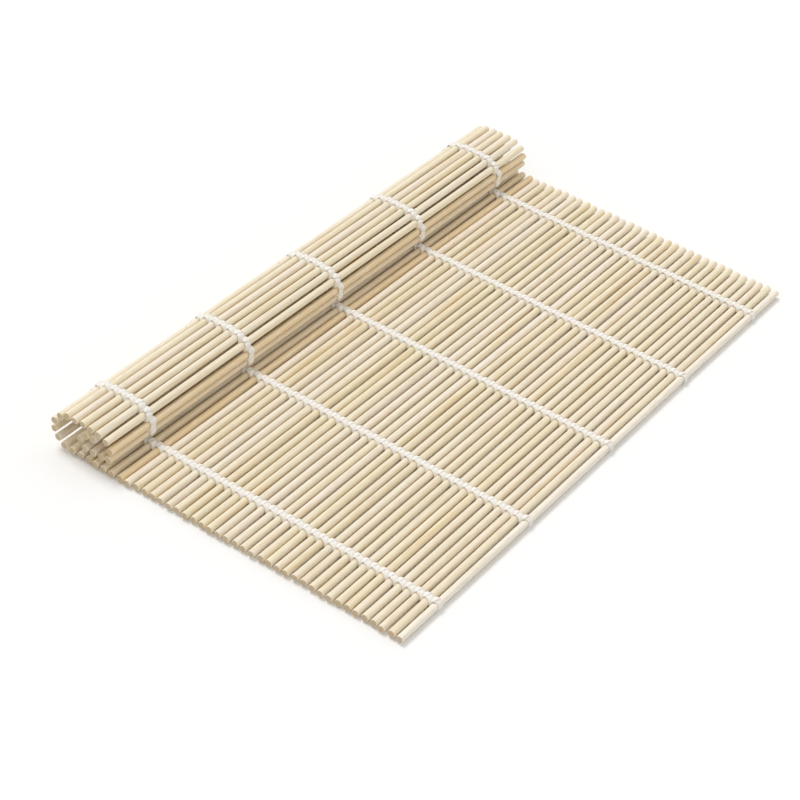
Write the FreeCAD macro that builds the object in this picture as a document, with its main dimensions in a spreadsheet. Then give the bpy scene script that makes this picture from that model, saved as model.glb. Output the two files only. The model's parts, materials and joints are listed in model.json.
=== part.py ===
"""Sushi rolling mat, partly rolled up: round bamboo sticks bound by five rows of cotton thread.

Frame: +Z up, +Y along the sticks, +X from the roll towards the free edge of the mat. The origin is
the bottom centre of the mat as it lies, so the undersides of the threads are at Z = 0.
"""

import FreeCAD, Part
import os
from math import acos, atan2, cos, degrees, dist, pi, radians, sin

doc = FreeCAD.newDocument("sushi_rolling_mat")

# Driving dimensions, in millimetres, degrees and counts
SIZES = (
    ("stick_diameter", 2.5, "round bamboo stick"),
    ("stick_length", 240.0, "all sticks are cut to one length"),
    ("strand_thickness", 0.35, "cotton strand, pressed flat against the stick"),
    ("strand_width", 0.9, "the same strand along the stick"),
    ("strand_clearance", 0.1, "strand to stick, and strand to strand in a row"),
    ("crossing_room", 0.15, "what a gap between sticks has over a strand and its clearances"),
    ("row_margin", 20.0, "stick end to the first row of thread"),
    ("layer_slack", 0.35, "looseness between two layers of the roll"),
    ("core_hollow", 1.4, "extra height left open at the middle of the roll"),
    ("entry_turn", 8.0, "rise of the mat as it leaves the table"),
    ("top_turn", 12.0, "crown of the roll's top layer"),
    ("lower_turn", 12.0, "sag of the layer that turns back under the top"),
    ("core_turn", 14.0, "crown of the innermost layer"),
    ("end_wrap", 250.0, "how far a strand goes round the last stick"),
    ("row_count", 5, "rows of thread"),
    ("base_stick_count", 5, "sticks of the straight run that the roll lies on"),
    ("flat_stick_count", 33, "sticks from that run to the free edge"),
    ("roll_stick_count", 21, "sticks from that run to the inner end of the roll"),
)
sheet = doc.addObject("Spreadsheet::Sheet", "sizes")
for line, (name, value, meaning) in enumerate(SIZES, start=1):
    sheet.set(f"A{line}", name)
    sheet.set(f"B{line}", str(value))
    sheet.set(f"C{line}", meaning)
    sheet.setAlias(f"B{line}", name)
doc.recompute()

# The gentle runs of the roll, and the bend at the foot of its wall, as shares of the stick pitch
entry_run_share = 2.8
top_run_share = 3.6
lower_run_share = 2.6
core_run_share = 2.0
foot_radius_share = 0.625

# Sizes that follow from the driving ones
stick_length = sheet.stick_length
stick_radius = sheet.stick_diameter / 2
strand_seat = stick_radius + sheet.strand_clearance
strand_reach = strand_seat + sheet.strand_thickness
strand_middle = (strand_seat + strand_reach) / 2
stick_pitch = 2 * strand_middle + sheet.crossing_room
layer_step = 2 * strand_reach + sheet.layer_slack
core_rise = layer_step + sheet.core_hollow
row_spacing = (stick_length - 2 * sheet.row_margin) / (sheet.row_count - 1)
rows = [sheet.row_margin - stick_length / 2 + i * row_spacing for i in range(int(sheet.row_count))]


# The line of the mat, seen along the sticks: points are (x, z) of stick axes
def gentle_run(share, turn_degrees):
    """Radius and turn of a run that is a share of the stick pitch long."""
    turn = radians(turn_degrees)
    return share * stick_pitch / turn, turn


def half(run):
    radius, turn = run
    return radius, turn / 2


def bend(rise, lead, run):
    """Radius and turn of the bend between a lead and a run, which all together turn a half circle
    and climb by the rise."""
    (lead_radius, lead_turn), (run_radius, run_turn) = lead, run
    climbed = lead_radius * (1 - cos(lead_turn)) + run_radius * (1 - cos(run_turn))
    return (rise - climbed) / (cos(lead_turn) + cos(run_turn)), pi - lead_turn - run_turn


def wall(rise, lead, run):
    """As a bend, but in two: a wide shoulder that turns until it stands upright, and a tight foot."""
    (lead_radius, lead_turn), (run_radius, run_turn) = lead, run
    foot_radius = foot_radius_share * stick_pitch
    climbed = lead_radius * (1 - cos(lead_turn)) + run_radius * (1 - cos(run_turn))
    shoulder_radius = (rise - climbed - foot_radius * cos(run_turn)) / cos(lead_turn)
    return [(shoulder_radius, pi / 2 - lead_turn), (foot_radius, pi / 2 - run_turn)]


def point_along(arcs, distance):
    """Point at a distance along arcs that leave the origin towards -X and turn up and over."""
    x, z, heading = 0, 0, pi
    for radius, turn in arcs:
        turned = min(distance / radius, turn)
        x += radius * (sin(heading) - sin(heading - turned))
        z += radius * (cos(heading - turned) - cos(heading))
        heading -= turned
        distance -= turned * radius
    return x, z


def one_pitch_on(arcs, station):
    """Distance along the arcs of the point that lies one stick pitch from the one at the station."""
    low, high = station + stick_pitch, station + stick_pitch * pi / 2
    while high - low > stick_pitch * 1e-9:
        middle = (low + high) / 2
        short = dist(point_along(arcs, station), point_along(arcs, middle)) < stick_pitch
        low, high = (middle, high) if short else (low, middle)
    return low


entry = gentle_run(entry_run_share, sheet.entry_turn)
top = gentle_run(top_run_share, sheet.top_turn)
lower = gentle_run(lower_run_share, sheet.lower_turn)
core = gentle_run(core_run_share, sheet.core_turn)
roll_arcs = [
    entry,
    bend(core_rise + 2 * layer_step, entry, half(top)),
    top,
    *wall(core_rise + layer_step, half(top), half(lower)),
    lower,
    bend(core_rise, half(lower), half(core)),
    (core[0], 2 * pi),
]
base_axes = [(i * stick_pitch, 0) for i in range(int(sheet.base_stick_count))]
flat_axes = [
    (base_axes[-1][0] + i * stick_pitch, 0) for i in range(1, int(sheet.flat_stick_count) + 1)
]
roll_axes = []
station = 0
for i in range(int(sheet.roll_stick_count)):
    station = one_pitch_on(roll_arcs, station)
    roll_axes.append(point_along(roll_arcs, station))

# The mat is moved so that the origin is at its bottom centre
move_x = -(min(x for x, z in roll_axes) + flat_axes[-1][0]) / 2


def moved(axes):
    return [(x + move_x, z + strand_reach) for x, z in axes]


base_axes, flat_axes, roll_axes = moved(base_axes), moved(flat_axes), moved(roll_axes)
chain = flat_axes[::-1] + base_axes[::-1] + roll_axes


# Bamboo sticks: plain round cylinders along Y
def cylinder_along_y(name, axis, radius, length, start):
    """A cylinder on a stick axis, with its radius and length bound to the sheet."""
    part = doc.addObject("Part::Cylinder", name)
    part.setExpression("Radius", radius)
    part.setExpression("Height", length)
    x, z = axis
    turn = FreeCAD.Rotation(FreeCAD.Vector(1, 0, 0), -90)
    part.Placement = FreeCAD.Placement(FreeCAD.Vector(x, start, z), turn)
    return part


def stick(name, axis):
    return cylinder_along_y(
        name, axis, "sizes.stick_diameter / 2", "sizes.stick_length", -stick_length / 2
    )


def group(name, members):
    """Separate solids that share one node."""
    part = doc.addObject("Part::Compound", name)
    part.Links = members
    return part


nodes = [group("base_sticks", [stick("base_stick", axis) for axis in base_axes])]
nodes += [stick(f"roll_stick_{i:02d}", axis) for i, axis in enumerate(roll_axes, start=1)]
nodes += [stick(f"flat_stick_{i:02d}", axis) for i, axis in enumerate(flat_axes, start=1)]

# Binding threads: in each row two flat strands, in opposite phase, wind over and under the sticks.
# A strand lies on an arc about each stick and crosses straight through the middle of each gap.
crossing_angle = acos(2 * strand_middle / stick_pitch)


def direction(start, end):
    return atan2(end[1] - start[1], end[0] - start[0])


def polar(centre, radius, angle):
    return centre[0] + radius * cos(angle), centre[1] + radius * sin(angle)


def wrap(index, side):
    """First angle and sweep of a strand's arc about one stick, on the left (1) or right (-1) of the
    line from the free edge to the inner end. At either end of that line it goes right round."""
    here = chain[index]
    sweep = radians(sheet.end_wrap)
    if index > 0:
        first = direction(here, chain[index - 1]) - side * crossing_angle
    if index < len(chain) - 1:
        last = direction(here, chain[index + 1]) + side * crossing_angle
    if index == 0:
        first = last + side * sweep
    elif index < len(chain) - 1:
        sweep = side * (first - last) % (2 * pi)
    return first, -side * sweep


def crossing(index, side):
    """Middle of the gap after a stick, and the angle of the strand that leaves that stick there."""
    here, there = chain[index], chain[index + 1]
    middle = (here[0] + there[0]) / 2, (here[1] + there[1]) / 2
    leave = polar(here, strand_middle, direction(here, there) + side * crossing_angle)
    return middle, direction(leave, middle)


def strand_edge(first_index, last_index, phase, offset):
    """One long edge of a strand, offset to its left, as points of lines and arcs: a list of two or
    three points for each piece."""
    side_of = lambda index: 1 if (index + phase) % 2 else -1
    pieces = []
    end = None
    if first_index > 0:
        middle, angle = crossing(first_index - 1, side_of(first_index - 1))
        end = polar(middle, offset, angle + pi / 2)
    for index in range(first_index, last_index + 1):
        first, sweep = wrap(index, side_of(index))
        radius = strand_middle + side_of(index) * offset
        arc = [polar(chain[index], radius, first + sweep * share) for share in (0, 1 / 2, 1)]
        if end:
            pieces.append([end, arc[0]])
        pieces.append(arc)
        end = arc[-1]
    if last_index < len(chain) - 1:
        middle, angle = crossing(last_index, side_of(last_index))
        pieces.append([end, polar(middle, offset, angle + pi / 2)])
    return pieces


def strand(first_index, last_index, phase):
    """A strand's solid from one stick to another, from Y = 0 up."""
    half = sheet.strand_thickness / 2
    left = strand_edge(first_index, last_index, phase, half)
    right = strand_edge(first_index, last_index, phase, -half)
    caps = [[left[0][0], right[0][0]], [left[-1][-1], right[-1][-1]]]
    edges = []
    for piece in left + right + caps:
        points = [FreeCAD.Vector(x, 0, z) for x, z in piece]
        curve = Part.Arc(*points) if len(points) == 3 else Part.LineSegment(*points)
        edges.append(curve.toShape())
    face = Part.Face(Part.Wire(Part.__sortEdges__(edges)))
    return face.extrude(FreeCAD.Vector(0, sheet.strand_width, 0))


strand_places = (
    -sheet.strand_clearance / 2 - sheet.strand_width,
    sheet.strand_clearance / 2,
)


def threads(name, first_axes, count):
    """All strands of all rows along a stretch of the mat."""
    first_index = chain.index(first_axes)
    solids = []
    for phase, place in enumerate(strand_places):
        shape = strand(first_index, first_index + count - 1, phase)
        solids += [shape.translated(FreeCAD.Vector(0, row + place, 0)) for row in rows]
    part = doc.addObject("Part::Feature", name)
    part.Shape = Part.makeCompound(solids)
    return part


nodes += [
    threads("flat_threads", flat_axes[-1], len(flat_axes)),
    threads("base_threads", base_axes[-1], len(base_axes)),
    threads("roll_threads", roll_axes[0], len(roll_axes)),
]

# Ties: one more close turn of thread on each side of the two strands, round the last stick
tie_places = (
    strand_places[0] - sheet.strand_clearance - sheet.strand_width,
    strand_places[1] + sheet.strand_width + sheet.strand_clearance,
)
seat_size = "sizes.stick_diameter / 2 + sizes.strand_clearance"


def tie(axis, start):
    """One turn of thread, as a short tube round a stick."""
    turn = doc.addObject("Part::Cut", "tie_turn")
    turn.Base = cylinder_along_y(
        "tie_outside", axis, f"{seat_size} + sizes.strand_thickness", "sizes.strand_width", start
    )
    turn.Tool = cylinder_along_y("tie_inside", axis, seat_size, "sizes.strand_width", start)
    return turn


def ties(name, axis):
    return group(name, [tie(axis, row + place) for row in rows for place in tie_places])


nodes += [ties("edge_ties", flat_axes[-1]), ties("core_ties", roll_axes[-1])]

# Every object is checked before anything is written
doc.recompute()
for item in doc.Objects:
    if "Invalid" in item.State or "Error" in item.State:
        raise RuntimeError(f"{item.Name} failed: {item.State}")
for node in nodes:
    node.Label = node.Name
    if node.Shape.isNull() or not node.Shape.isValid():
        raise RuntimeError(f"{node.Name} has no valid shape")
os.makedirs("parts", exist_ok=True)
for node in nodes:
    node.Shape.exportStep(f"parts/{node.Label}.step")
print(f"{len(nodes)} nodes, stick pitch {stick_pitch:.3f}, crossing {degrees(crossing_angle):.1f} degrees")
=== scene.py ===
"""A bamboo sushi rolling mat, partly rolled up: 59 sticks held by five rows of twined cotton."""
import json

import bpy
import numpy as np
from mathutils import Matrix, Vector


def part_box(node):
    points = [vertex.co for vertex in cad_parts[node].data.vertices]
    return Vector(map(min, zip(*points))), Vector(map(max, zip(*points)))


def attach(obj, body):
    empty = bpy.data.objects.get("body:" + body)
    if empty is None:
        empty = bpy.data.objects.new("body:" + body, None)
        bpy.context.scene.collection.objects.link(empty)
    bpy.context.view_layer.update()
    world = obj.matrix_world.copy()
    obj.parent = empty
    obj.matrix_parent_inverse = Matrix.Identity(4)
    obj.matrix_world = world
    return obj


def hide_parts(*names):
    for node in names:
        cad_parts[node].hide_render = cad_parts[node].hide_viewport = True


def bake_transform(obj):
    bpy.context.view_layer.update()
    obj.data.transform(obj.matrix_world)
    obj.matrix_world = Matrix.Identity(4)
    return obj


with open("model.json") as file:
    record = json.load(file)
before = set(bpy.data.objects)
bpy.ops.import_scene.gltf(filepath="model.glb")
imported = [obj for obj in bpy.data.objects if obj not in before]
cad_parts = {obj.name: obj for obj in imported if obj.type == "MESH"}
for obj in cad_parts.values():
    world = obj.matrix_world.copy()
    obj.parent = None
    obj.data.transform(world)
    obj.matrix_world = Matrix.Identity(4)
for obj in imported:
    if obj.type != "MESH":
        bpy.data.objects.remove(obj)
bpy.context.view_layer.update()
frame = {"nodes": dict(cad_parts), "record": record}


# Bamboo sticks: split bamboo drawn through a round die and sawn to one length. Each one bows,
# swells and thins a little, and its ends are cut slightly askew. The sticks lie side by side,
# in the roll, under it and in the flat part, and only the threads hold them.
MM = 0.001
BASE_STICKS = 5
STICK_AROUND = 20
STICK_RINGS = 24
END_STEPS = np.array([0.0, 0.10, 0.32]) * MM        # rings of the worn edge, from the cut inwards
END_SHARES = np.array([0.84, 0.965, 1.0])           # their share of the stick's radius
SHORT_CUT = 0.6 * MM                                # the most that an end falls short
SKEW = 0.06                                         # slope of a cut that isn't square
SKEW_REACH = 2 * MM                                 # how far from the cut the rings follow it
SIZE_SPREAD, SIZE_MOST = 0.018, 1.02                # how the sticks differ in radius
SWELL = 0.018
LONG_SWELL, SHORT_SWELL = 5.0, 17.0                 # its two waves, in radians per stick
SHORT_SHARE = 0.6                                   # the shorter wave's share
OUT_OF_ROUND = 0.022
THREE_SIDED = 0.5                                   # share of the three-sided wave in that
BOW = 0.13 * MM
KINK, KINK_SHARE = 9.0, 0.5                         # a shorter bow, in radians per stick
BOW_UP = 0.35                                       # share of the bow that goes up and down
draws = np.random.default_rng(59)                   # seeded: every run makes the same mat

body_of = {node: body for body, nodes in frame["record"]["behaviour"]["bodies"].items()
           for node in nodes}


def stick_axis(node):
    """Where a stick's axis is, seen along the stick: the middle of its box in X and in Z."""
    low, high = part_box(node)
    return np.array([(low.x + high.x) / 2, (low.z + high.z) / 2])


base_low, base_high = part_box("base_sticks")
stick_radius = (base_high.z - base_low.z) / 2
stick_ends = (base_low.y, base_high.y)
base_x = np.linspace(base_low.x + stick_radius, base_high.x - stick_radius, BASE_STICKS)
base_z = (base_low.z + base_high.z) / 2
roll_nodes = sorted((n for n in frame["nodes"] if n.startswith("roll_stick")), reverse=True)
flat_nodes = sorted(n for n in frame["nodes"] if n.startswith("flat_stick"))
# The mat as one chain of (node, axis), from the inner end of the roll to the free edge.
chain = ([(n, stick_axis(n)) for n in roll_nodes]
         + [("base_sticks", np.array([x, base_z])) for x in base_x]
         + [(n, stick_axis(n)) for n in flat_nodes])


def tube_faces(rings, around, offset=0):
    """Quads between neighbouring rings of points, and one flat face over each end ring."""
    i, j = np.meshgrid(np.arange(rings - 1), np.arange(around), indexing="ij")
    k = (j + 1) % around
    quads = np.stack([i * around + j, (i + 1) * around + j,
                      (i + 1) * around + k, i * around + k], axis=-1).reshape(-1, 4) + offset
    first = np.arange(around) + offset
    last = first[::-1] + (rings - 1) * around
    return quads.tolist() + [first.tolist(), last.tolist()]


def stick_surface(axis):
    """A rod along Y as rings of points: the stick's own radius times the worn end's share, times
    one plus the swell along the rod, times one plus the out-of-round waves; each ring's centre is
    moved sideways by the bow, and the rings near an end are tilted by the skew of the cut and drawn
    in by as much."""
    low, high = stick_ends
    cut_low, cut_high = draws.uniform(0, SHORT_CUT, 2)
    inner = np.linspace(low + cut_low + SKEW_REACH, high - cut_high - SKEW_REACH, STICK_RINGS)
    y = np.concatenate([low + cut_low + END_STEPS, inner, (high - cut_high - END_STEPS)[::-1]])
    share = np.concatenate([END_SHARES, np.ones(STICK_RINGS), END_SHARES[::-1]])
    turn = np.linspace(0, 2 * np.pi, STICK_AROUND, endpoint=False)
    phase = draws.uniform(0, 2 * np.pi, 6)
    size = min(draws.normal(1.0, SIZE_SPREAD), SIZE_MOST)
    t = (y - low) / (high - low)
    along = 1 + SWELL * (np.sin(LONG_SWELL * t + phase[0])
                         + SHORT_SHARE * np.sin(SHORT_SWELL * t + phase[1]))
    wave = 1 + OUT_OF_ROUND * (np.cos(2 * turn + phase[2])
                               + THREE_SIDED * np.cos(3 * turn + phase[3]))
    radius = size * stick_radius * (share * along)[:, None] * wave[None, :]
    bow_x = BOW * (np.sin(2 * np.pi * t + phase[4]) + KINK_SHARE * np.sin(KINK * t + phase[5]))
    bow_z = BOW_UP * BOW * np.sin(2 * np.pi * t + phase[5])
    x, z = radius * np.cos(turn), radius * np.sin(turn)
    near_end = np.clip(1 - np.minimum(y - y[0], y[-1] - y) / SKEW_REACH, 0, 1)[:, None]
    low_half = (t < 0.5)[:, None]
    inward = np.where(low_half, 1.0, -1.0)
    tilt = np.where(low_half, *draws.normal(0, SKEW, (2, 1, 2)))
    slope = tilt[:, :1] * x + tilt[:, 1:] * z
    rise = near_end * (slope + inward * np.abs(tilt).sum(1, keepdims=True) * stick_radius)
    return np.stack([axis[0] + bow_x[:, None] + x, y[:, None] + rise,
                     axis[1] + bow_z[:, None] + z], axis=-1)


def linear(hex_colour):
    """An sRGB hex colour as linear RGBA: the standard curve, with its straight toe."""
    s = np.array([int(hex_colour[i:i + 2], 16) for i in (1, 3, 5)]) / 255
    rgb = np.where(s <= 0.04045, s / 12.92, ((s + 0.055) / 1.055) ** 2.4)
    return (*rgb.tolist(), 1.0)


def add(tree, kind, inputs, **settings):
    """Adds a node: its settings as attributes, and each input as a value or a link."""
    made = tree.nodes.new(kind)
    for name, value in settings.items():
        setattr(made, name, value)
    for name, value in inputs.items():
        if isinstance(value, bpy.types.NodeSocket):
            tree.links.new(value, made.inputs[name])
        else:
            made.inputs[name].default_value = value
    return made


# Planed bamboo: pale, close-grained and nearly matt. Long fibres run the length of the stick,
# so it shows fine lines along its side, dots on its sawn end, and yellow or brown streaks.
bamboo = bpy.data.materials.new("planed_bamboo")
bamboo.use_nodes = True
tree = bamboo.node_tree
tree.nodes.clear()
FIBRE, FIBRE_LENGTH = 0.45 * MM, 38 * MM        # drawn coarser than real fibres, which are 0.1 mm
STREAK, STREAK_LENGTH = 1.9 * MM, 55 * MM
FLECK, FLECK_LENGTH = 0.55 * MM, 4.5 * MM       # ends of fibres, coarser too
SPECK, SPECK_LENGTH = 0.8 * MM, 2.6 * MM
where = add(tree, "ShaderNodeTexCoord", {}).outputs["Object"]
# Each stick's place in the palette: its own tone, and for the sticks in the crease, painted shade.
tint = add(tree, "ShaderNodeAttribute", {}, attribute_name="tint").outputs["Fac"]
sawn = add(tree, "ShaderNodeAttribute", {}, attribute_name="sawn").outputs["Fac"]
hue = add(tree, "ShaderNodeValToRGB", {"Fac": tint})
# Only the sticks in the crease reach the last colour, whose browner tint is painted shade.
PALETTE = ["#f5e8cd", "#f2e6c5", "#f6e6cf", "#f7eede", "#f1e1be", "#f4e7ca", "#f0e5d0", "#efd4a4"]
while len(hue.color_ramp.elements) < len(PALETTE):
    hue.color_ramp.elements.new(0.5)
for i, colour in enumerate(PALETTE):
    hue.color_ramp.elements[i].position = i / (len(PALETTE) - 1)
    hue.color_ramp.elements[i].color = linear(colour)


# These four add nodes to the material that is being made, in its `tree`.
def long_noise(width, length, detail):
    """Noise whose patches are `width` across the stick and `length` along it."""
    scaled = add(tree, "ShaderNodeMapping", {
        "Vector": where, "Scale": (1 / width, 1 / length, 1 / width)}).outputs["Vector"]
    return add(tree, "ShaderNodeTexNoise", {
        "Vector": scaled, "Scale": 1.0, "Detail": detail, "Roughness": 0.6}).outputs["Fac"]


def step(value, low, high):
    """Zero below `low`, one above `high`, straight between."""
    return add(tree, "ShaderNodeMapRange", {
        "Value": value, "From Min": low, "From Max": high}).outputs["Result"]


def tinted(share, under, over):
    """The colour `under`, mixed towards `over` by `share`."""
    return add(tree, "ShaderNodeMix", {"Factor": share, 6: under, 7: over},
               data_type="RGBA").outputs[2]


def times(a, b):
    """The product of two values."""
    return add(tree, "ShaderNodeMath", {0: a, 1: b}, operation="MULTIPLY").outputs[0]


fibres = long_noise(FIBRE, FIBRE_LENGTH, 3.0)
streaks = long_noise(STREAK, STREAK_LENGTH, 2.0)
flecks = long_noise(FLECK, FLECK_LENGTH, 1.0)
specks = long_noise(SPECK, SPECK_LENGTH, 2.0)
colour = hue.outputs["Color"]
# Each row: a noise, where its tint starts and where it is full, its strength and its colour.
for noise, start, full, strength, shade in (
        (fibres, 0.46, 0.70, 0.42, "#dccbae"),
        (streaks, 0.58, 0.74, 0.55, "#e8c682"),
        (streaks, 0.42, 0.28, 0.35, "#f7efdf"),
        (flecks, 0.54, 0.72, 0.40, "#dccfb5"),
        (flecks, 0.44, 0.28, 0.40, "#fcf4e4"),
        (specks, 0.735, 0.79, 0.60, "#8a6a3f")):
    colour = tinted(times(step(noise, start, full), strength), colour, linear(shade))
# The sawn ends are tinted dark brown: partly the cut wood's own colour, partly painted shade on ends
# that face away from the lamp.
SAWN_TONE_AND_SHADE = 0.70
FIBRE_DEPTH = 0.06 * MM
colour = tinted(times(sawn, SAWN_TONE_AND_SHADE), colour, linear("#a98c5f"))
relief = add(tree, "ShaderNodeBump", {
    "Height": fibres, "Strength": 0.35, "Distance": FIBRE_DEPTH}).outputs["Normal"]
shine = add(tree, "ShaderNodeMapRange", {
    "Value": fibres, "To Min": 0.48, "To Max": 0.70}).outputs["Result"]
shader = add(tree, "ShaderNodeBsdfPrincipled", {
    "Base Color": colour, "Roughness": shine, "Normal": relief, "IOR": 1.5})
add(tree, "ShaderNodeOutputMaterial", {"Surface": shader.outputs["BSDF"]})


def add_piece(name, points, faces, material):
    """A mesh object at the origin from points and faces, smooth except on faces of many sides."""
    mesh = bpy.data.meshes.new(name)
    mesh.from_pydata(points.reshape(-1, 3).tolist(), [], faces)
    mesh.polygons.foreach_set("use_smooth", [len(f) == 4 for f in faces])
    mesh.materials.append(material)
    piece = bpy.data.objects.new(name, mesh)
    bpy.context.scene.collection.objects.link(piece)
    return piece


def add_values(piece, name, values):
    """One number for each point of the piece, for its material to read."""
    piece.data.attributes.new(name, "FLOAT", "POINT").data.foreach_set("value", values)


all_rings = STICK_RINGS + 2 * len(END_STEPS)
stick_points = STICK_AROUND * all_rings
# The rings at the cuts, whose darker tint is partly painted shade.
on_cut = np.zeros(stick_points, np.float32)
on_cut[:STICK_AROUND] = on_cut[-STICK_AROUND:] = 1
# A stick's tint is its place in the palette, from 0 to 1.
COMMON_TINTS = 6 / 7                                 # most sticks lie below this,
CREASE_SHADE_TINTS = 0.92                                   # and the sticks in the crease above this: a browner tint that is painted shade
EDGE_TINT = 3 / 7                                    # the free-edge stick is the whitest
# The sticks in the crease beside the roll get a browner tint, which paints the crease's warm shade.
CREASE_SHADE_ROLL = [f"roll_stick_{k}" for k in range(14, 17)]
CREASE_SHADE_BASE = 2                                       # base sticks next to the flat part, which get the same painted crease shade
groups = [(n, [axis]) for n, axis in chain if n != "base_sticks"]
groups.append(("base_sticks", [axis for n, axis in chain if n == "base_sticks"]))
for node, axes in groups:
    points = np.stack([stick_surface(axis) for axis in axes])
    shades = draws.uniform(0, COMMON_TINTS, len(axes))
    if node == flat_nodes[-1]:
        shades[:] = EDGE_TINT
    # Painted shade: the sticks in the crease take the browner end of the palette.
    painted_crease_shade = CREASE_SHADE_TINTS + shades * (1 - CREASE_SHADE_TINTS) / COMMON_TINTS
    if node in CREASE_SHADE_ROLL:
        shades = painted_crease_shade
    if node == "base_sticks":
        shades[-CREASE_SHADE_BASE:] = painted_crease_shade[-CREASE_SHADE_BASE:]
    faces = []
    for k in range(len(axes)):
        faces += tube_faces(all_rings, STICK_AROUND, k * stick_points)
    piece = add_piece("bamboo_" + node, points, faces, bamboo)
    add_values(piece, "tint", np.repeat(shades, stick_points).astype(np.float32))
    add_values(piece, "sawn", np.tile(on_cut, len(axes)))
    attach(piece, body_of[node])
    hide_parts(node)


# Binding threads: two strands of white cotton in each of five rows. They pass over and under
# the sticks in turn and cross in every gap, always the same way round, like a rope laid along
# the mat. Each gap's crossings are one piece, which rides with the sticks' body where both sticks
# beside it share one.
ROWS = np.array([-100.0, -50.0, 0.0, 50.0, 100.0]) * MM
STRAND_WIDTH, GAP_WIDTH = 2.8 * MM, 3.2 * MM         # on a stick, and in the gap between two
FREE_THICK = 0.66 * MM                               # a strand that nothing presses stands proud,
ROLL_THICK = 0.58 * MM                               # one between two layers is pressed,
TABLE_THICK = 0.44 * MM                              # and one under the mat is pressed flat
LOW_AXIS = 2.0 * MM                                  # a stick lower than this lies on the table
ROLL_OUTSIDE = range(5, 15)                          # roll sticks with nothing against their outside
GAP_SWELL = 1.2 * MM                                 # what the soft strand gains in a gap
CROSS_SIDE = -0.40 * MM                              # sideways place of a strand in the gap
ROW_WANDER = 0.10 * MM
ARC_POINTS = 4
STRAND_AROUND = 8

# Twined cotton: several yarns twisted into one strand. White and matt, with a soft halo, and
# slanting grooves between the yarns, sunk by the relief and darkened by painted shade.
cotton = bpy.data.materials.new("twined_cotton")
cotton.use_nodes = True
tree = cotton.node_tree
tree.nodes.clear()
YARNS = 3
LAY = 5.4 * MM                                       # length in which a yarn goes round once
FUZZ = 0.35 * MM                                     # size of the tufts of loose fibre,
FUZZ_SHARE = 0.5                                     # and their share in the relief
GROOVE_DEPTH = 0.12 * MM
GROOVE_SHADE, FUZZ_LIGHT = 0.55, 0.25                # strengths of the painted shade in the grooves and of the lighter tufts
ply_place = add(tree, "ShaderNodeUVMap", {}, uv_map="ply").outputs["UV"]
split = add(tree, "ShaderNodeSeparateXYZ", {"Vector": ply_place})
round_part = times(split.outputs["X"], YARNS)
twist = add(tree, "ShaderNodeMath", {0: split.outputs["Y"], 1: YARNS / LAY, 2: round_part},
            operation="MULTIPLY_ADD").outputs[0]
# From 0 in a groove to 1 on the crown of a yarn.
saw = times(add(tree, "ShaderNodeMath", {0: twist, 1: 0.5}, operation="PINGPONG").outputs[0], 2.0)
fuzz = add(tree, "ShaderNodeTexNoise", {
    "Vector": add(tree, "ShaderNodeTexCoord", {}).outputs["Object"], "Scale": 1 / FUZZ,
    "Detail": 3.0}).outputs["Fac"]
height = add(tree, "ShaderNodeMath", {0: fuzz, 1: FUZZ_SHARE, 2: saw},
             operation="MULTIPLY_ADD").outputs[0]
# Painted shade in the grooves, then lighter tufts of loose fibre.
colour = tinted(times(step(saw, 0.45, 0.0), GROOVE_SHADE), linear("#f9f4eb"), linear("#e8dfd2"))
colour = tinted(times(step(fuzz, 0.5, 0.75), FUZZ_LIGHT), colour, linear("#fefefd"))
relief = add(tree, "ShaderNodeBump", {
    "Height": height, "Strength": 0.6, "Distance": GROOVE_DEPTH}).outputs["Normal"]
shader = add(tree, "ShaderNodeBsdfPrincipled", {
    "Base Color": colour, "Roughness": 0.92, "Normal": relief, "Sheen Weight": 0.25,
    "Sheen Roughness": 0.5})
add(tree, "ShaderNodeOutputMaterial", {"Surface": shader.outputs["BSDF"]})


def unit(v):
    """Vectors divided by their lengths."""
    return v / np.linalg.norm(v, axis=-1, keepdims=True)


def strand_path(start, end, up_start, up_end, thick, over_first):
    """The middle of a strand from one stick to the next, in the plane across the sticks: an arc
    round the first stick, from straight over (or under) it to where the line that touches both
    arcs leaves it, and an arc on the other side of the next stick. Gives points and tangents."""
    gap = np.linalg.norm(end - start)
    forth = (end - start) / gap
    up = np.array([-forth[1], forth[0]])
    reach = stick_radius + thick / 2
    lean = np.arccos(min(reach.sum() / gap, 1.0))
    from_up, to_up = (np.arctan2(u @ up, u @ forth) for u in (up_start, up_end))
    if over_first:
        angles = (np.linspace(from_up, lean, ARC_POINTS),
                  np.linspace(lean, to_up, ARC_POINTS) + np.pi)
        sense = (-1, 1)
    else:
        angles = (np.linspace(from_up - np.pi, -lean, ARC_POINTS),
                  np.linspace(np.pi - lean, to_up, ARC_POINTS))
        sense = (1, -1)
    points, tangents = [], []
    for centre, r, a, s in zip((start, end), reach, angles, sense):
        points.append(centre + r * (np.cos(a)[:, None] * forth + np.sin(a)[:, None] * up))
        tangents.append(s * (-np.sin(a)[:, None] * forth + np.cos(a)[:, None] * up))
    return np.concatenate(points), np.concatenate(tangents)


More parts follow.
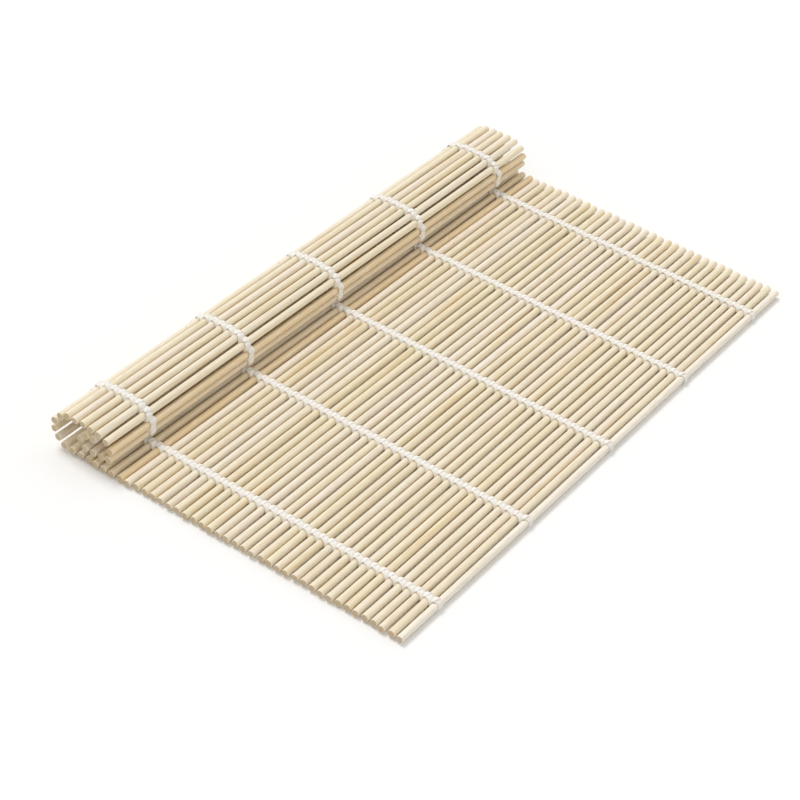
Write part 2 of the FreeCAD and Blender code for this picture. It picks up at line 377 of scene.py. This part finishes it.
def strand_surface(path, tangents, row_start, row_end, side, thick):
    """An oval carried along a path: the path runs in X and Z; in Y it goes from one row place to
    the next, and aside by half a sine wave, so that the two strands of a pair pass each other. The
    oval's width goes from that on a stick to that in the gap as a squared cosine. The length along,
    which the yarns follow, is stretched to whole grooves, so that they run on to the next piece."""
    steps = np.linalg.norm(np.diff(path, axis=0), axis=1)
    run = np.concatenate([[0], np.cumsum(steps)])
    s = run / run[-1]
    y = row_start + (row_end - row_start) * s + side * np.sin(np.pi * s)
    slope = side * np.pi * np.cos(np.pi * s) / run[-1]
    middle = np.stack([path[:, 0], y, path[:, 1]], axis=-1)
    forth = unit(np.stack([tangents[:, 0], slope, tangents[:, 1]], axis=-1))
    out = np.stack([-tangents[:, 1], np.zeros(len(s)), tangents[:, 0]], axis=-1)
    across = unit(np.cross(out, forth))
    turn = np.linspace(0, 2 * np.pi, STRAND_AROUND, endpoint=False)[None, :, None]
    wide = GAP_WIDTH + (STRAND_WIDTH - GAP_WIDTH) * np.cos(np.pi * s) ** 2
    ring = (np.cos(turn) * thick[:, None, None] / 2 * out[:, None]
            + np.sin(turn) * wide[:, None, None] / 2 * across[:, None])
    grooves = np.round(run[-1] * YARNS / LAY)
    return middle[:, None] + ring, s * grooves * LAY / YARNS


def tube_uv(rings, around, run):
    """For each corner of tube_faces: the share of the way round, and the length along in metres."""
    i, j = np.meshgrid(np.arange(rings - 1), np.arange(around), indexing="ij")
    u = np.stack([j, j, j + 1, j + 1], axis=-1) / around
    v = np.stack([run[i], run[i + 1], run[i + 1], run[i]], axis=-1)
    sides = np.stack([u, v], axis=-1).reshape(-1, 2)
    ends = np.repeat([[0.0, run[0]], [0.0, run[-1]]], around, axis=0)
    return np.concatenate([sides, ends])


def add_ply(piece, corners):
    """The piece's UV map: for each corner, its place round the strand and along it."""
    piece.data.uv_layers.new(name="ply").data.foreach_set("uv", corners.ravel())


axes = np.array([axis for _, axis in chain])
# At each stick, the way through the mat's thickness: halfway between those of its two gaps.
links = unit(np.diff(axes, axis=0))
link_ups = np.stack([-links[:, 1], links[:, 0]], axis=-1)
ups = unit(np.concatenate([link_ups[:1], link_ups[:-1] + link_ups[1:], link_ups[-1:]]))
row_places = ROWS + draws.normal(0, ROW_WANDER, (len(chain), len(ROWS)))
outside = {f"roll_stick_{k:02d}" for k in ROLL_OUTSIDE}
over_thick = np.array([FREE_THICK if "flat" in n else ROLL_THICK for n, _ in chain])
under_thick = np.array([FREE_THICK if n in outside else ROLL_THICK for n, _ in chain])
under_thick[axes[:, 1] < LOW_AXIS] = TABLE_THICK
strand_rings = 2 * ARC_POINTS
for g in range(len(chain) - 1):
    nodes = [chain[g][0], chain[g + 1][0]]
    points, faces, corners = [], [], []
    for over_first in (True, False):
        if over_first:
            ends = np.array([over_thick[g], under_thick[g + 1]])
        else:
            ends = np.array([under_thick[g], over_thick[g + 1]])
        path, tangents = strand_path(axes[g], axes[g + 1], ups[g], ups[g + 1], ends, over_first)
        # The thickness changes in the middle half of the way, and swells in the gap by a squared sine.
        way = np.linspace(0, 1, strand_rings)
        thick = np.interp(way, [0.25, 0.75], ends) + GAP_SWELL * np.sin(np.pi * way) ** 2
        side = CROSS_SIDE if over_first else -CROSS_SIDE
        for row in range(len(ROWS)):
            surface, run = strand_surface(path, tangents, row_places[g, row],
                                          row_places[g + 1, row], side, thick)
            faces += tube_faces(strand_rings, STRAND_AROUND,
                                len(points) * strand_rings * STRAND_AROUND)
            points.append(surface)
            corners.append(tube_uv(strand_rings, STRAND_AROUND, run))
    piece = add_piece(f"thread_{g + 1:02d}", np.stack(points), faces, cotton)
    add_ply(piece, np.concatenate(corners))
    bodies = [body_of[n] for n in nodes]
    if bodies[0] == bodies[1]:
        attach(piece, bodies[0])
    else:
        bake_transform(piece)
    part = next((p for p in ("roll", "flat") if any(p in n for n in nodes)), "base")
    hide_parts(part + "_threads")


# Ties, of the same cotton: where a pair of strands ends, it is wound in a few close turns round
# the last stick and its tail is drawn under them. There is one in each row, at the free edge and
# at the roll's core.
TIE_TURNS = 3
TIE_SPAN = 2.0 * MM                                  # how far the winding runs along the stick
TIE_WIDTH, TIE_THICK = 0.9 * MM, 0.44 * MM
TIE_STEPS = 16
TIE_AROUND = 6


def tie_surface(axis, row, first_angle):
    """An oval carried along a helix round the stick: the angle grows evenly, the place along the
    stick goes from one side of the row to the other, and the radius is the stick's plus half a
    thread."""
    count = TIE_TURNS * TIE_STEPS + 1
    t = np.linspace(0, 1, count)
    a = first_angle + 2 * np.pi * TIE_TURNS * t
    r = stick_radius + TIE_THICK / 2
    out = np.stack([np.cos(a), np.zeros(count), np.sin(a)], axis=-1)
    middle = np.array([axis[0], row - TIE_SPAN / 2, axis[1]]) + r * out
    middle[:, 1] += TIE_SPAN * t
    pitch = TIE_SPAN / (2 * np.pi * TIE_TURNS * r)
    forth = unit(np.stack([-np.sin(a), np.full(count, pitch), np.cos(a)], axis=-1))
    across = np.cross(out, forth)
    turn = np.linspace(0, 2 * np.pi, TIE_AROUND, endpoint=False)[None, :, None]
    ring = (np.cos(turn) * TIE_THICK / 2 * out[:, None]
            + np.sin(turn) * TIE_WIDTH / 2 * across[:, None])
    return middle[:, None] + ring, 2 * np.pi * TIE_TURNS * r * t


for node, k in (("core_ties", 0), ("edge_ties", len(chain) - 1)):
    points, faces, corners = [], [], []
    for row in row_places[k]:
        surface, run = tie_surface(axes[k], row, draws.uniform(0, 2 * np.pi))
        faces += tube_faces(len(run), TIE_AROUND, len(points) * len(run) * TIE_AROUND)
        points.append(surface)
        corners.append(tube_uv(len(run), TIE_AROUND, run))
    piece = add_piece("cotton_" + node, np.stack(points), faces, cotton)
    add_ply(piece, np.concatenate(corners))
    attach(piece, body_of[node])
    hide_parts(node)


# The studio: a plain white floor, an even white surround, and one large soft lamp on the roll's
# side of the mat, which leaves the crease beside the roll in shade.
FLOOR_HALF = 3.0
FLOOR_DROP = 0.02 * MM                               # the floor lies just clear of the lowest strands
WHITE = (1, 1, 1, 1)
LAMP_FROM = np.array([-0.64, 0.14, 1.15])
LAMP_SPREAD = np.radians(22)
LAMP_STRENGTH = 1.32
SURROUND = 0.68
corner = np.array([[-1, -1], [1, -1], [1, 1], [-1, 1]]) * FLOOR_HALF
mesh = bpy.data.meshes.new("floor")
mesh.from_pydata(np.column_stack([corner, np.full(4, -FLOOR_DROP)]).tolist(), [], [[0, 1, 2, 3]])
paper = bpy.data.materials.new("white_paper")
paper.use_nodes = True
tree = paper.node_tree
tree.nodes.clear()
shader = add(tree, "ShaderNodeBsdfPrincipled", {"Base Color": linear("#fbfbfa"), "Roughness": 0.9})
add(tree, "ShaderNodeOutputMaterial", {"Surface": shader.outputs["BSDF"]})
mesh.materials.append(paper)
floor = bpy.data.objects.new("floor", mesh)
bpy.context.scene.collection.objects.link(floor)

world = bpy.data.worlds.new("surround")
bpy.context.scene.world = world
world.use_nodes = True
tree = world.node_tree
tree.nodes.clear()
ray = add(tree, "ShaderNodeLightPath", {})
seen = ray.outputs["Is Camera Ray"]
for kind in ("Is Glossy Ray", "Is Transmission Ray"):
    seen = add(tree, "ShaderNodeMath", {0: seen, 1: ray.outputs[kind]},
               operation="MAXIMUM").outputs[0]
light = add(tree, "ShaderNodeBackground", {"Color": WHITE, "Strength": SURROUND})
backdrop = add(tree, "ShaderNodeBackground", {"Color": WHITE, "Strength": 1.0})
sky = add(tree, "ShaderNodeMixShader", {
    0: seen, 1: light.outputs["Background"], 2: backdrop.outputs["Background"]})
add(tree, "ShaderNodeOutputWorld", {"Surface": sky.outputs["Shader"]})


def facing(place, right, up, back):
    """The matrix of a lamp or camera at a place, from the directions of its own three axes."""
    return Matrix([*np.column_stack([right, up, back, place]).tolist(), [0, 0, 0, 1]])


lamp_data = bpy.data.lights.new("soft_lamp", "SUN")
lamp_data.angle = LAMP_SPREAD
lamp_data.energy = LAMP_STRENGTH
lamp = bpy.data.objects.new("soft_lamp", lamp_data)
back = unit(LAMP_FROM)
right = unit(np.cross([0, 0, 1], back))
lamp.matrix_world = facing(LAMP_FROM, right, np.cross(back, right), back)
bpy.context.scene.collection.objects.link(lamp)

# The camera stands where the photograph was taken from, and leans with it.
EYE = np.array([299.6, -551.2, 466.7]) * MM
CAMERA_RIGHT = np.array([0.8151, 0.5672, 0.1177])
CAMERA_BACK = np.array([0.3910, -0.6886, 0.6108])
LENS_MM, SENSOR_MM = 104.5, 36.0
camera_data = bpy.data.cameras.new("camera")
camera_data.lens = LENS_MM
camera_data.sensor_width = SENSOR_MM
camera = bpy.data.objects.new("camera", camera_data)
back = unit(CAMERA_BACK)
right = unit(CAMERA_RIGHT - (CAMERA_RIGHT @ back) * back)
camera.matrix_world = facing(EYE, right, np.cross(back, right), back)
bpy.context.scene.collection.objects.link(camera)
bpy.context.scene.camera = camera
bpy.context.scene.view_settings.view_transform = "Standard"
